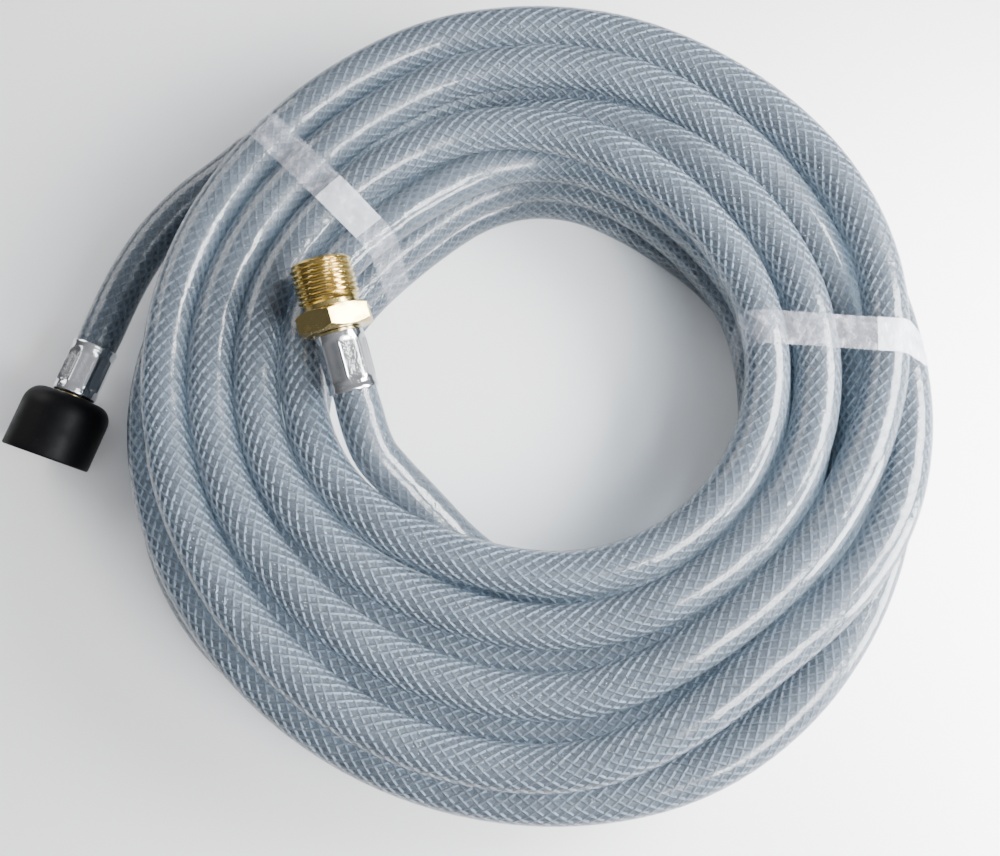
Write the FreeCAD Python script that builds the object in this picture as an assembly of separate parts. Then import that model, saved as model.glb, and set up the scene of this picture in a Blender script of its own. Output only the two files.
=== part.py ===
"""Coil of braided clear hose with a crimped male connector and a crimped swivel nut.

Millimetres, +Z up. The coil lies on the floor at z = 0. Winding angles are in degrees and run
clockwise as seen from above, from the left side of the coil, on through all the turns.
"""

import FreeCAD, Part

import math
import os

V = FreeCAD.Vector

# Hose
HOSE_OUTER = 15.0
HOSE_BORE = 10.0
HOSE_SIDES = 6
REST_FLAT = 0.1 * HOSE_OUTER

# Winding: four places across by four levels, one turn in each
ACROSS = 4
LEVELS = 4
STRAND_GAP = 1.05
HOLE_RADIUS = 67.5
START_ANGLE = 40.0
FIRST_STEP_ANGLE = 265.0
STEP_SPAN = 80.0
CORNER_LEAD = 0.29 * STEP_SPAN
LONGEST_SPAN = 34.0
LEAST_GAP = 0.4

# How far the turns of each level, floor level first, lie out of round
FAR_SWELL = [9.0, 9.0, 9.0, 7.5]
LEFT_SWELL = 13.0
NEAR_OUTER = [32.0, 26.0, 26.0]
NEAR_INNER = [9.0, 7.0, 6.0]
FLOOR_SPREAD = 38.0
RIGHT_SWELL = 5.0
RIGHT_LEAN = [13.0, 5.0, 5.0, 0.0]
CORNER_SWELL = 5.0

# Winding angles at which each of these begins, is full, is full for the last time and is gone
FAR_ANGLES = [30.0, 88.0, 88.0, 146.0]
LEFT_ANGLES = [285.0, 340.0, 365.0, 420.0]
NEAR_ANGLES = [178.0, 258.0, 345.0, 385.0]
FLOOR_ANGLES = [268.0, 325.0, 335.0, 400.0]
RIGHT_ANGLES = [110.0, 170.0, 190.0, 235.0]
CORNER_ANGLES = [10.0, 45.0, 60.0, 88.0]
NEST_ANGLES = [235.0, 272.0, 300.0, 345.0]

# First turn's lead out to the nut
LEAD_OUT = 23.0
LEAD_SPAN = 110.0
LEAD_DROP_SPAN = 50.0

# Last turn's tail, which rises out of the hole to the male connector
TAIL_ANGLE = 312.0
TAIL_RADIUS = HOLE_RADIUS
TAIL_IN_SPAN = 45.0
TAIL_LIFT = 7.7
TAIL_LIFT_SPAN = 26.0

# Free stretch to the nut: lengths of its straight runs and the turns between them
NUT_RUNS = [24.0, 30.0, 37.0]
NUT_TURNS = [15.7, 15.7]
NUT_TURN_SHARE = 0.45

# Ferrules crimped round the hose
FERRULE_LENGTH = 21.0
FERRULE_WALL = 0.7
FERRULE_CLEARANCE = 0.02
FERRULE_LIP = 0.8
FERRULE_FLARE = 0.35
FLARE_LENGTH = 2.0
FLARE_CROWN = 0.6
MOUTH_DEPTH = 1.5
END_ROUNDING = 1.0
CRIMP_FLATS = 8
CRIMP_DEPTH = 0.3
CRIMP_LENGTH = 15.0
HOSE_BEFORE_TAIL = 6.0

# Hose tails inside the ferrules
THROUGH_BORE = 8.0
BARB_CLEARANCE = 0.02
BARB_RIDGES = 3
BARB_PITCH = 3.8
BARB_DEPTH = 0.35
TIP_CLEARANCE = 0.3
LIP_CLEARANCE = 0.05

# Male connector, G 1/2
MALE_THREAD_OUTER = 20.96
MALE_THREAD_LENGTH = 14.6
MALE_CHAMFER = 1.2
RELIEF_LENGTH = 1.8
RELIEF_DEPTH = 1.3
HEX_ACROSS_FLATS = 24.0
HEX_LENGTH = 7.6
HEX_CHAMFER = 1.0
SEAT_RADIUS = 5.6
MALE_MOUTH_ANGLE = 348.1
MALE_MOUTH_CLEARANCE = 4.73
MALE_STAND = 25.334
MALE_HEADING = 105.4
MALE_SLOPE = 0.24

# Swivel nut, G 3/4, and what it turns on
NUT_OUTER = 32.0
NUT_LENGTH = 25.5
NUT_SHOULDER = 7.0
NUT_BACK_RADIUS = 10.5
NUT_BACK_WALL = 4.0
NUT_THREAD_MAJOR = 26.44
NUT_THREAD_MINOR = 24.12
NUT_RELIEF_LENGTH = 4.5
NUT_LEAD_IN = 1.2
NUT_EDGE_CHAMFER = 0.5
NUT_FERRULE_GAP = 0.5
NECK_RADIUS = 6.5
NECK_CLEARANCE = 0.08
SWIVEL_CLEARANCE = 0.3
FLANGE_THICKNESS = 3.0
WASHER_THICKNESS = 2.5
WASHER_BORE = 12.0

# Tape wraps
TAPE_WIDTH = 12.0
TAPE_THICKNESS = 0.5
TAPE_CLEARANCE = 0.5
TAPE_LEFT_ANGLE = 40.0
TAPE_RIGHT_ANGLE = 171.0
TAPE_SLACK = 0.2

PITCH = HOSE_OUTER + STRAND_GAP
HOSE_RADIUS = HOSE_OUTER / 2
FLOOR_HEIGHT = HOSE_RADIUS - REST_FLAT
NUT_HEIGHT = NUT_OUTER / 2
STRAIGHT_END = HOSE_OUTER
FAR = 1000.0

# Measuring the least gap: distance between points, and length of hose that counts as one place
SAMPLE_STEP = 3.0
OWN_LENGTH = 200.0


def turn_places():
    """Place outwards from the hole and level up from the floor of each turn, in winding order.

    The two lower levels spiral in and out. The two upper ones are wound a column at a time, so that
    one end leaves at the outside near the floor and the other comes up inside the hole.
    """
    places = [(place, 1) for place in range(ACROSS, 0, -1)]
    places += [(place, 2) for place in range(1, ACROSS + 1)]
    for place in range(ACROSS, 0, -1):
        pair = [3, 4] if (ACROSS - place) % 2 == 0 else [4, 3]
        places += [(place, level) for level in pair]
    return places


PLACES = turn_places()


def step_angles():
    """Winding angle at the middle of each step from one place to the next."""
    angles = []
    middle = FIRST_STEP_ANGLE
    for i in range(1, len(PLACES)):
        along = (PLACES[i][0] - PLACES[i - 1][0], PLACES[i][1] - PLACES[i - 1][1])
        if i > 1 and along != before:
            middle -= CORNER_LEAD
        angles.append(middle + 360 * (i - 1))
        before = along
    return angles


STEPS = step_angles()
END_ANGLE = 360 * (len(PLACES) - 2) + TAIL_ANGLE


def smooth(x):
    """0 below 0, 1 above 1 and an even curve between."""
    x = min(max(x, 0.0), 1.0)
    return x * x * (3 - 2 * x)


def swell(angle, marks):
    """0 up to the first of four angles, 1 between the next two and 0 again from the last."""
    rise, top, fall, end = marks
    a = rise + (angle - rise) % 360
    return smooth((a - rise) / (top - rise)) - smooth((a - fall) / (end - fall))


def level_edges(angle, level):
    """Centre radii of a level's innermost and outermost places at a winding angle."""
    far = FAR_SWELL[level - 1] * swell(angle, FAR_ANGLES)
    left = LEFT_SWELL * swell(angle, LEFT_ANGLES)
    right = swell(angle, RIGHT_ANGLES)
    inner = HOLE_RADIUS + HOSE_RADIUS + far + left + RIGHT_LEAN[level - 1] * right
    outer = inner + (ACROSS - 1) * PITCH + CORNER_SWELL * swell(angle, CORNER_ANGLES)
    outer += max(RIGHT_SWELL - RIGHT_LEAN[level - 1], 0.0) * right
    if level <= len(NEAR_OUTER):
        near = swell(angle, NEAR_ANGLES)
        inner += NEAR_INNER[level - 1] * near
        outer += (NEAR_OUTER[level - 1] - left) * near
    if level == 1:
        outer += FLOOR_SPREAD * swell(angle, FLOOR_ANGLES)
    return inner, outer


def nested(angle, place, level, radius, height):
    """Radius and height after a top-level turn has sunk between the turns of the level below it."""
    sink = swell(angle, NEST_ANGLES) * min(place - 1, 1.0) * max(level - LEVELS + 1, 0.0)
    inner, outer = level_edges(angle, LEVELS - 1)
    spacing = (outer - inner) / (ACROSS - 1)
    radius += (inner + spacing * (place - 1.5) - radius) * sink
    across = (radius - inner) / spacing
    aside = spacing * (across - round(across))
    rest = FLOOR_HEIGHT + (LEVELS - 2) * PITCH + math.sqrt(max(PITCH**2 - aside**2, 0.0))
    return radius, height + (rest - height) * sink


def centre(angle):
    """Point of the hose's centre line at a winding angle."""
    place, level = PLACES[0]
    for i, middle in enumerate(STEPS):
        share = smooth((angle - middle) / STEP_SPAN + 0.5)
        place += (PLACES[i + 1][0] - PLACES[i][0]) * share
        level += (PLACES[i + 1][1] - PLACES[i][1]) * share
    low = min(int(level), LEVELS - 1)
    edges = [level_edges(angle, low), level_edges(angle, low + 1)]
    inner, outer = [a + (b - a) * (level - low) for a, b in zip(*edges)]
    radius = inner + (outer - inner) * (place - 1) / (ACROSS - 1)
    height = FLOOR_HEIGHT + (level - 1) * PITCH
    radius, height = nested(angle, place, level, radius, height)
    lead = max(1 - (angle - START_ANGLE) / LEAD_SPAN, 0.0)
    radius += LEAD_OUT * lead**2
    height += (NUT_HEIGHT - FLOOR_HEIGHT) * (1 - smooth((angle - START_ANGLE) / LEAD_DROP_SPAN))
    radius += (TAIL_RADIUS - radius) * smooth((angle - END_ANGLE) / TAIL_IN_SPAN + 1)
    height += TAIL_LIFT * max((angle - END_ANGLE) / TAIL_LIFT_SPAN + 1, 0.0) ** 2
    a = math.radians(angle)
    return V(-radius * math.cos(a), radius * math.sin(a), height)


def unit(vector):
    """The vector at length 1."""
    return V(vector).normalize()


def heading(angle):
    """Direction of the centre line at a winding angle."""
    return unit(centre(angle + 0.01).sub(centre(angle - 0.01)))


def node_angles():
    """Winding angles of the path's nodes: marks of each step and of each sunk turn, and even spans."""
    marks = [START_ANGLE, END_ANGLE]
    for middle in STEPS:
        marks += [middle - STEP_SPAN / 2, middle, middle + STEP_SPAN / 2]
    sinking = [sum(NEST_ANGLES[:2]) / 2] + NEST_ANGLES[1:]
    for i, (place, level) in enumerate(PLACES):
        if level == LEVELS and place > 1:
            marks += [360 * (i - 1) + a for a in sinking]
    marks = sorted(a for a in marks if START_ANGLE <= a <= END_ANGLE)
    angles = []
    for a, b in zip(marks, marks[1:]):
        spans = max(1, math.ceil((b - a) / LONGEST_SPAN))
        angles += [a + (b - a) * i / spans for i in range(spans)]
    return angles + [marks[-1]]


def tangent_arc(start, direction, end):
    """Arc that leaves start along direction and ends at end, with its last direction and its radius."""
    chord = end.sub(start)
    normal = unit(direction.cross(chord))
    side = normal.cross(direction)
    radius = chord.dot(chord) / (2 * chord.dot(side))
    middle = start.add(side * radius)
    top = middle.add(unit(start.add(end).multiply(0.5).sub(middle)) * radius)
    last = unit(normal.cross(end.sub(middle)))
    return Part.Arc(start, top, end).toShape(), last, radius


def biarc(start, first, end, last):
    """Two tangent arcs from start along first to end along last, and their radii."""
    chord = end.sub(start)
    sum_along = chord.dot(first.add(last))
    spread = 2 * (1 - first.dot(last))
    if spread < 1e-9:
        reach = chord.dot(chord) / (4 * chord.dot(last))
    else:
        reach = (math.sqrt(sum_along**2 + spread * chord.dot(chord)) - sum_along) / spread
    joint = start.add(end).add(first.sub(last) * reach) * 0.5
    arc_a, between, radius_a = tangent_arc(start, first, joint)
    arc_b, _, radius_b = tangent_arc(joint, between, end)
    return [arc_a, arc_b], [radius_a, radius_b]


def level_direction(degrees, slope=0.0):
    """Unit direction with a heading counted from +X towards +Y, and a slope."""
    a = math.radians(degrees)
    return unit(V(math.cos(a), math.sin(a), slope))


def section(start, direction, radius):
    """Closed polygon of the hose's sides, square to direction, with a corner straight down."""
    across = unit(direction.cross(V(0, 0, 1)))
    up = across.cross(direction)
    corners = []
    for i in range(HOSE_SIDES + 1):
        a = 2 * math.pi * i / HOSE_SIDES - math.pi / 2
        corners.append(start.add(across * (radius * math.cos(a))).add(up * (radius * math.sin(a))))
    return Part.makePolygon(corners)


def faceted_hose(edges, start, direction, name):
    """Hose swept along the edges, with its volume compared with section times length."""
    wire = Part.Wire(edges)
    profile = section(start, direction, HOSE_RADIUS)
    solid = wire.makePipeShell([profile], True, False)
    share = solid.Volume / (Part.Face(profile).Area * wire.Length)
    print("%s: length %.1f, volume over section times length %.4f" % (name, wire.Length, share))
    return solid


def least_gap(wire):
    """Smallest distance between the hose's surfaces on two turns, measured on points."""
    points = []
    for edge in wire.Edges:
        points += edge.discretize(max(3, math.ceil(edge.Length / SAMPLE_STEP)))[:-1]
    apart = int(OWN_LENGTH / (wire.Length / len(points)))
    least = FAR
    for i, p in enumerate(points):
        for q in points[i + apart:]:
            if abs(p.z - q.z) < least and abs(p.x - q.x) < least:
                least = min(least, p.distanceToPoint(q))
    return least - HOSE_OUTER


def male_pose():
    """Mouth of the male connector's ferrule, beside the top inner strand, and its direction."""
    a = math.radians(MALE_MOUTH_ANGLE)
    stand = math.radians(MALE_STAND)
    strand, _ = level_edges(MALE_MOUTH_ANGLE, LEVELS)
    away = 2 * HOSE_RADIUS + FERRULE_CLEARANCE + FERRULE_WALL + FERRULE_FLARE + MALE_MOUTH_CLEARANCE
    radius = strand - away * math.cos(stand)
    height = FLOOR_HEIGHT + (LEVELS - 1) * PITCH + away * math.sin(stand)
    return V(-radius * math.cos(a), radius * math.sin(a), height), level_direction(MALE_HEADING, MALE_SLOPE)


def coil_ends():
    """Face and outward direction of the coil's end towards the nut, and of its end in the ferrule."""
    out = heading(START_ANGLE) * -1
    nut_face = centre(START_ANGLE).add(out * STRAIGHT_END)
    mouth, along = male_pose()
    return nut_face, out, mouth.add(along * HOSE_BEFORE_TAIL), along


def hose_coil(channels):
    """The wound hose in one unbroken tube, cut flat where it rests and under the tape."""
    nut_face, out, male_face, along = coil_ends()
    start = centre(START_ANGLE)
    edges = [Part.LineSegment(nut_face, start).toShape()]
    radii = []
    angles = node_angles()
    for a, b in zip(angles, angles[1:]):
        arcs, pair = biarc(centre(a), heading(a), centre(b), heading(b))
        edges += arcs
        radii += pair
    rise = male_face.sub(along * STRAIGHT_END)
    arcs, pair = biarc(centre(END_ANGLE), heading(END_ANGLE), rise, along)
    edges += arcs + [Part.LineSegment(rise, male_face).toShape()]
    radii += pair
    print("coil: %.2f turns, smallest arc radius %.1f" % ((END_ANGLE - START_ANGLE) / 360, min(radii)))
    gap = least_gap(Part.Wire(edges))
    print("coil: least gap to itself %.2f, wanted over %.2f" % (gap, LEAST_GAP))
    coil = faceted_hose(edges, nut_face, out * -1, "coil")
    floor = Part.makeBox(FAR, FAR, HOSE_OUTER, V(-FAR / 2, -FAR / 2, -HOSE_OUTER))
    return coil.cut(Part.Compound([floor] + channels))


def nut_route():
    """Points of the free stretch from the coil to the nut's ferrule mouth, and its last direction."""
    nut_face, out, _, _ = coil_ends()
    points = [nut_face]
    direction = math.degrees(math.atan2(out.y, out.x))
    for run, turn in zip(NUT_RUNS, NUT_TURNS + [0.0]):
        points.append(points[-1].add(level_direction(direction) * run))
        last = level_direction(direction)
        direction += turn
    return points, last


def hose_nut_end():
    """The free stretch into the nut's ferrule, with a bore where the tail sits in it."""
    points, last = nut_route()
    mouth = points[-1]
    points[-1] = mouth.add(last * (FERRULE_LENGTH - FERRULE_LIP))
    edges = []
    at = points[0]
    for i, turn in enumerate(NUT_TURNS):
        shorter = min(NUT_RUNS[i], NUT_RUNS[i + 1])
        cut = NUT_TURN_SHARE * shorter
        radius = cut / math.tan(math.radians(turn / 2))
        corner = points[i + 1]
        before = corner.sub(unit(corner.sub(points[i])) * cut)
        after = corner.add(unit(points[i + 2].sub(corner)) * cut)
        edges.append(Part.LineSegment(at, before).toShape())
        arc, _, measured = tangent_arc(before, unit(before.sub(at)), after)
        edges.append(arc)
        at = after
        print("nut end: arc radius %.1f, measured %.1f" % (radius, measured))
    edges.append(Part.LineSegment(at, points[-1]).toShape())
    hose = faceted_hose(edges, points[0], unit(points[1].sub(points[0])), "nut end")
    return hose.cut(tail_bore(mouth, last))


def tail_bore(mouth, along):
    """The hose's bore over the length in which a tail sits, for a ferrule mouth and its direction."""
    return Part.makeCylinder(HOSE_BORE / 2, FERRULE_LENGTH, mouth.add(along * HOSE_BEFORE_TAIL), along)


def hose_male_end():
    """The crimped end of the hose round the male connector's tail."""
    mouth, along = male_pose()
    face = mouth.add(along * HOSE_BEFORE_TAIL)
    end = mouth.add(along * (FERRULE_LENGTH - FERRULE_LIP))
    edges = [Part.LineSegment(face, end).toShape()]
    return faceted_hose(edges, face, along, "male end").cut(tail_bore(mouth, along))


def revolved(outline):
    """Solid of revolution about Z from (radius, height) corners or three-point arcs."""
    edges = []
    at = V(outline[0][0], 0, outline[0][1])
    for corner in outline[1:] + outline[:1]:
        end = V(corner[-2], 0, corner[-1])
        if len(corner) == 4:
            edges.append(Part.Arc(at, V(corner[0], 0, corner[1]), end).toShape())
        else:
            edges.append(Part.makeLine(at, end))
        at = end
    return Part.Face(Part.Wire(edges)).revolve(V(0, 0, 0), V(0, 0, 1), 360)


def placed(shape, mouth, along):
    """The shape, modelled along +Z from a ferrule's mouth, set where that ferrule lies."""
    across = unit(along.cross(V(0, 0, 1)))
    up = across.cross(along)
    turn = FreeCAD.Placement(mouth, FreeCAD.Rotation(up, across * -1, along, "ZXY"))
    moved = shape.copy()
    moved.Placement = turn
    return moved


def ferrule():
    """Crimped sleeve with a flared mouth, pressed flats and a lip that locks on the tail."""
    bore = HOSE_RADIUS + FERRULE_CLEARANCE
    outer = bore + FERRULE_WALL
    lip_bore = HOSE_BORE / 2 + LIP_CLEARANCE
    seat = FERRULE_LENGTH - FERRULE_LIP
    inset = END_ROUNDING * (1 - math.sqrt(0.5))
    sleeve = revolved([
        (bore + FERRULE_FLARE, 0),
        (outer + FERRULE_FLARE / 2, 0),
        (outer + FERRULE_FLARE, FLARE_CROWN, outer, FLARE_LENGTH),
        (outer, FERRULE_LENGTH - END_ROUNDING),
        (outer - inset, FERRULE_LENGTH - inset, outer - END_ROUNDING, FERRULE_LENGTH),
        (lip_bore, FERRULE_LENGTH),
        (lip_bore, seat),
        (bore, seat),
        (bore, MOUTH_DEPTH),
    ])
    apothem = outer - CRIMP_DEPTH
    corner = apothem / math.cos(math.pi / CRIMP_FLATS)
    ring = []
    for i in range(CRIMP_FLATS + 1):
        a = 2 * math.pi * i / CRIMP_FLATS
        ring.append(V(corner * math.cos(a), corner * math.sin(a), 0))
    start = (FERRULE_LENGTH - CRIMP_LENGTH) / 2
    jaws = Part.makeCylinder(2 * outer, CRIMP_LENGTH, V(0, 0, start))
    pressed = Part.Face(Part.makePolygon(ring)).extrude(V(0, 0, CRIMP_LENGTH))
    pressed.translate(V(0, 0, start))
    return sleeve.cut(jaws.cut(pressed))


def tail_outline():
    """Outline of a hose tail from its tip to the ferrule's end: bore, tip and ridges."""
    ridge = HOSE_BORE / 2 - BARB_CLEARANCE
    root = ridge - BARB_DEPTH
    tip = HOSE_BEFORE_TAIL + TIP_CLEARANCE
    outline = [(THROUGH_BORE / 2, tip), (root, tip)]
    for i in range(BARB_RIDGES):
        start = tip + i * BARB_PITCH
        outline += [(ridge, start + 0.75 * BARB_PITCH), (root, start + BARB_PITCH)]
    outline += [(root, FERRULE_LENGTH - 2 * FERRULE_LIP), (ridge, FERRULE_LENGTH - 2 * FERRULE_LIP)]
    return outline + [(ridge, FERRULE_LENGTH)]


def hexagon(start):
    """Chamfered hexagon with a corner up, from a height along the axis."""
    corner = HEX_ACROSS_FLATS / math.sqrt(3)
    ring = [V(corner * math.cos(math.radians(60 * i)), corner * math.sin(math.radians(60 * i)), start)
            for i in range(7)]
    prism = Part.Face(Part.makePolygon(ring)).extrude(V(0, 0, HEX_LENGTH))
    face = HEX_ACROSS_FLATS / 2 - HEX_CHAMFER / 2
    side = corner + HEX_CHAMFER
    drop = (side - face) * math.tan(math.radians(30))
    end = start + HEX_LENGTH
    return prism.common(revolved([
        (0, start), (face, start), (side, start + drop), (side, end - drop), (face, end), (0, end)]))


def male_connector():
    """Brass hose tail, hexagon, relief groove and thread blank in one turned piece."""
    hex_end = FERRULE_LENGTH + HEX_LENGTH
    thread_start = hex_end + RELIEF_LENGTH
    end = thread_start + MALE_THREAD_LENGTH
    crest = MALE_THREAD_OUTER / 2
    relief = crest - RELIEF_DEPTH
    bore = THROUGH_BORE / 2
    seat = SEAT_RADIUS - bore
    body = revolved(tail_outline() + [
        (relief, FERRULE_LENGTH),
        (relief, thread_start),
        (crest, thread_start + RELIEF_DEPTH),
        (crest, end - MALE_CHAMFER),
        (crest - MALE_CHAMFER, end),
        (SEAT_RADIUS, end),
        (bore, end - seat * math.sqrt(3)),
    ])
    ring = hexagon(FERRULE_LENGTH).cut(Part.makeCylinder(relief - 1.0, 2 * end))
    return body.fuse(ring).removeSplitter()


def nut_levels():
    """Heights along the nut's axis from the ferrule mouth: back, inner back face, flange and mouth."""
    back = FERRULE_LENGTH + NUT_FERRULE_GAP
    inside = back + NUT_BACK_WALL
    flange = inside + SWIVEL_CLEARANCE
    return back, inside, flange, back + NUT_LENGTH


def nut_tail():
    """Hose tail with the neck and flange that the swivel nut turns on."""
    _, _, flange, _ = nut_levels()
    rim = NUT_THREAD_MINOR / 2 - SWIVEL_CLEARANCE
    return revolved(tail_outline() + [
        (NECK_RADIUS, FERRULE_LENGTH),
        (NECK_RADIUS, flange),
        (rim, flange),
        (rim, flange + FLANGE_THICKNESS),
        (THROUGH_BORE / 2, flange + FLANGE_THICKNESS),
    ])


def swivel_nut():
    """Nut with a domed back, a hole for the neck and a threaded mouth."""
    back, inside, _, mouth = nut_levels()
    hole = NECK_RADIUS + NECK_CLEARANCE
    minor = NUT_THREAD_MINOR / 2
    major = NUT_THREAD_MAJOR / 2
    outer = NUT_OUTER / 2
    relief = inside + NUT_RELIEF_LENGTH
    dome = (outer - NUT_BACK_RADIUS) * math.sqrt(0.5)
    return revolved([
        (hole, back),
        (NUT_BACK_RADIUS, back),
        (NUT_BACK_RADIUS + dome, back + NUT_SHOULDER * (1 - math.sqrt(0.5)), outer, back + NUT_SHOULDER),
        (outer, mouth - NUT_EDGE_CHAMFER),
        (outer - NUT_EDGE_CHAMFER, mouth),
        (minor + NUT_LEAD_IN, mouth),
        (minor, mouth - NUT_LEAD_IN),
        (minor, relief + major - minor),
        (major, relief),
        (major, inside),
        (hole, inside),
    ])


def sealing_washer():
    """Flat washer on the flange, inside the nut."""
    _, _, flange, _ = nut_levels()
    base = flange + FLANGE_THICKNESS
    rim = NUT_THREAD_MINOR / 2 - SWIVEL_CLEARANCE
    ring = Part.makeCylinder(rim, WASHER_THICKNESS, V(0, 0, base))
    return ring.cut(Part.makeCylinder(WASHER_BORE / 2, WASHER_THICKNESS, V(0, 0, base)))


def strands_at(azimuth):
    """(outward, up) places of the strands' centres under a tape wrap, at its edges and middle."""
    out_at = V(-math.cos(math.radians(azimuth)), math.sin(math.radians(azimuth)), 0)
    along = V(-out_at.y, out_at.x, 0) * -1
    places = []
    angle = azimuth
    while angle < END_ANGLE + 60:
        for offset in (-TAPE_WIDTH / 2, 0.0, TAPE_WIDTH / 2):
            at = angle + math.degrees(offset / HOLE_RADIUS)
            for _ in range(4):
                p = hose_point(at)
                at += math.degrees((offset - p.dot(along)) / p.Length)
            p = hose_point(at)
            if at < END_ANGLE:
                places.append((p.dot(out_at), p.z))
        angle += 360
    return out_at, along, places


def hose_point(angle):
    """Centre line with its straight end before the first turn."""
    if angle >= START_ANGLE:
        return centre(angle)
    start = centre(START_ANGLE)
    return start.sub(heading(START_ANGLE) * (math.radians(START_ANGLE - angle) * start.Length))


def turned(a, b, c):
    """Twice the area to the left of the way from a by b to c."""
    return (b[0] - a[0]) * (c[1] - a[1]) - (b[1] - a[1]) * (c[0] - a[0])


def hull(points):
    """Convex hull of (x, y) points, in order, without corners that barely stand out."""
    rim = []
    for row in (sorted(points), sorted(points, reverse=True)):
        side = []
        for p in row:
            while len(side) > 1 and turned(side[-2], side[-1], p) <= 0:
                side.pop()
            side.append(p)
        rim += side[:-1]
    kept = [rim[0]]
    for b, c in zip(rim[1:], rim[2:] + rim[:1]):
        if turned(kept[-1], b, c) > TAPE_SLACK * math.dist(kept[-1], c):
            kept.append(b)
    return kept


def prism(rim, grow, azimuth_frame, bottom):
    """Prism of the rim grown by rounded corners, as wide as the tape and cut off below bottom."""
    out_at, along = azimuth_frame
    centre_at = along * (-TAPE_WIDTH / 2)
    corners = [centre_at.add(out_at * x).add(V(0, 0, z)) for x, z in rim]
    face = Part.Face(Part.makePolygon(corners + corners[:1])).makeOffset2D(grow)
    solid = face.extrude(along * TAPE_WIDTH)
    below = Part.makeBox(FAR, FAR, HOSE_OUTER, V(-FAR / 2, -FAR / 2, bottom - HOSE_OUTER))
    return solid.cut(below)


def tape_wrap(azimuth):
    """A tape wrap pulled tight round the strands, and the channel under them that it runs in."""
    out_at, along, places = strands_at(azimuth)
    rim = hull(places)
    inside = HOSE_RADIUS + TAPE_CLEARANCE
    outer = prism(rim, inside + TAPE_THICKNESS, (out_at, along), 0.0)
    inner = prism(rim, inside, (out_at, along), TAPE_THICKNESS)
    band = outer.cut(inner)
    box = band.optimalBoundingBox(False, False)
    width = TAPE_WIDTH + 2 * TAPE_CLEARANCE
    depth = TAPE_THICKNESS + TAPE_CLEARANCE
    channel = Part.makeBox(2 * box.DiagonalLength, width, HOSE_OUTER, V(0, -width / 2, depth - HOSE_OUTER))
    channel.rotate(V(0, 0, 0), V(0, 0, 1), math.degrees(math.atan2(out_at.y, out_at.x)))
    return band, channel


def main():
    """Builds every node, sets the origin under the middle of the model and writes the files."""
    tape_left, channel_left = tape_wrap(TAPE_LEFT_ANGLE)
    tape_right, channel_right = tape_wrap(TAPE_RIGHT_ANGLE)
    male = male_pose()
    points, last = nut_route()
    nut = (points[-1], last)
    nodes = {
        "hose_coil": hose_coil([channel_left, channel_right]),
        "hose_nut_end": hose_nut_end(),
        "hose_brass_end": hose_male_end(),
        "male_connector": placed(male_connector(), *male),
        "male_ferrule": placed(ferrule(), *male),
        "nut_tail": placed(nut_tail(), *nut),
        "nut_ferrule": placed(ferrule(), *nut),
        "swivel_nut": placed(swivel_nut(), *nut),
        "sealing_washer": placed(sealing_washer(), *nut),
        "tape_band_left": tape_left,
        "tape_band_right": tape_right,
    }
    box = Part.Compound(list(nodes.values())).optimalBoundingBox(False, False)
    shift = V(-box.Center.x, -box.Center.y, 0)
    os.makedirs("parts", exist_ok=True)
    for name, shape in nodes.items():
        shape.translate(shift)
        shape.exportStep("parts/%s.step" % name)
        counts = (name, shape.isValid(), len(shape.Solids), len(shape.Faces))
        print("%s: valid %s, solids %d, faces %d" % counts)
    print("size %.1f x %.1f x %.1f, lowest %.3f" % (box.XLength, box.YLength, box.ZLength, box.ZMin))
    print("shift %.3f %.3f" % (shift.x, shift.y))
    print("male mouth %s along %s" % (male[0].add(shift), male[1]))
    print("nut mouth %s along %s" % (nut[0].add(shift), nut[1]))


main()
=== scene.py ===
"""Coil of braided clear hose with a crimped male connector and a crimped swivel nut, dressed.

Metres, +Z up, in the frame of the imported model. Winding angles are in degrees and run clockwise as
seen from above, from the left side of the coil, on through all the turns.
"""

import logging
import math
from collections.abc import Callable
from dataclasses import dataclass
from enum import Enum

import bpy
import numpy as np
from mathutils import Matrix, Vector, noise


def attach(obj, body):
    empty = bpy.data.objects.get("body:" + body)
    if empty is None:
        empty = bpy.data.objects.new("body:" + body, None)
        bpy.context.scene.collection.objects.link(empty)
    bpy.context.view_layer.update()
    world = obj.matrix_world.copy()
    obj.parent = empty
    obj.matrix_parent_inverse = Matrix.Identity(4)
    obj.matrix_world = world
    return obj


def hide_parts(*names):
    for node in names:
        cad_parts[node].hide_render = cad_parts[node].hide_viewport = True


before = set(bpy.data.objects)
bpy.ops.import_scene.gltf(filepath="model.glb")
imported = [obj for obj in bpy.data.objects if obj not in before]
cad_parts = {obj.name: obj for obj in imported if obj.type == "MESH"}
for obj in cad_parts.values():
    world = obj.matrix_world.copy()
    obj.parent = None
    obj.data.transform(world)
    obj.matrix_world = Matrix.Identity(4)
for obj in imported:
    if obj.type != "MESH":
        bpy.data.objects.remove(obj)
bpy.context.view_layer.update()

log = logging.getLogger("hose")

Piece = bpy.types.Object
Socket = bpy.types.NodeSocket
Colour = tuple[float, float, float]
Row = tuple[float, float]
Triple = tuple[float, float, float]
Angles = tuple[float, float, float, float]
Shape = Callable[[float, float, float], float]

WHITE = (1.0, 1.0, 1.0)
FERRULE_LENGTH = 0.021
THREAD_STEP = 0.00015
EDGE_STEP = 0.0002


class TapePlace(Enum):
    """Where tape holds the turns: winding angle, shift along the turns and slant."""

    LEFT = (40.0, 0.007, -5.0)
    RIGHT = (171.0, -0.002, -13.0)


class Side(Enum):
    """Which way a thread's ridges face."""

    OUTSIDE = "outside"
    INSIDE = "inside"


def smooth(x: float) -> float:
    """0 below 0, 1 above 1 and an even curve between."""
    x = min(max(x, 0.0), 1.0)
    return x * x * (3 - 2 * x)


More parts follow.
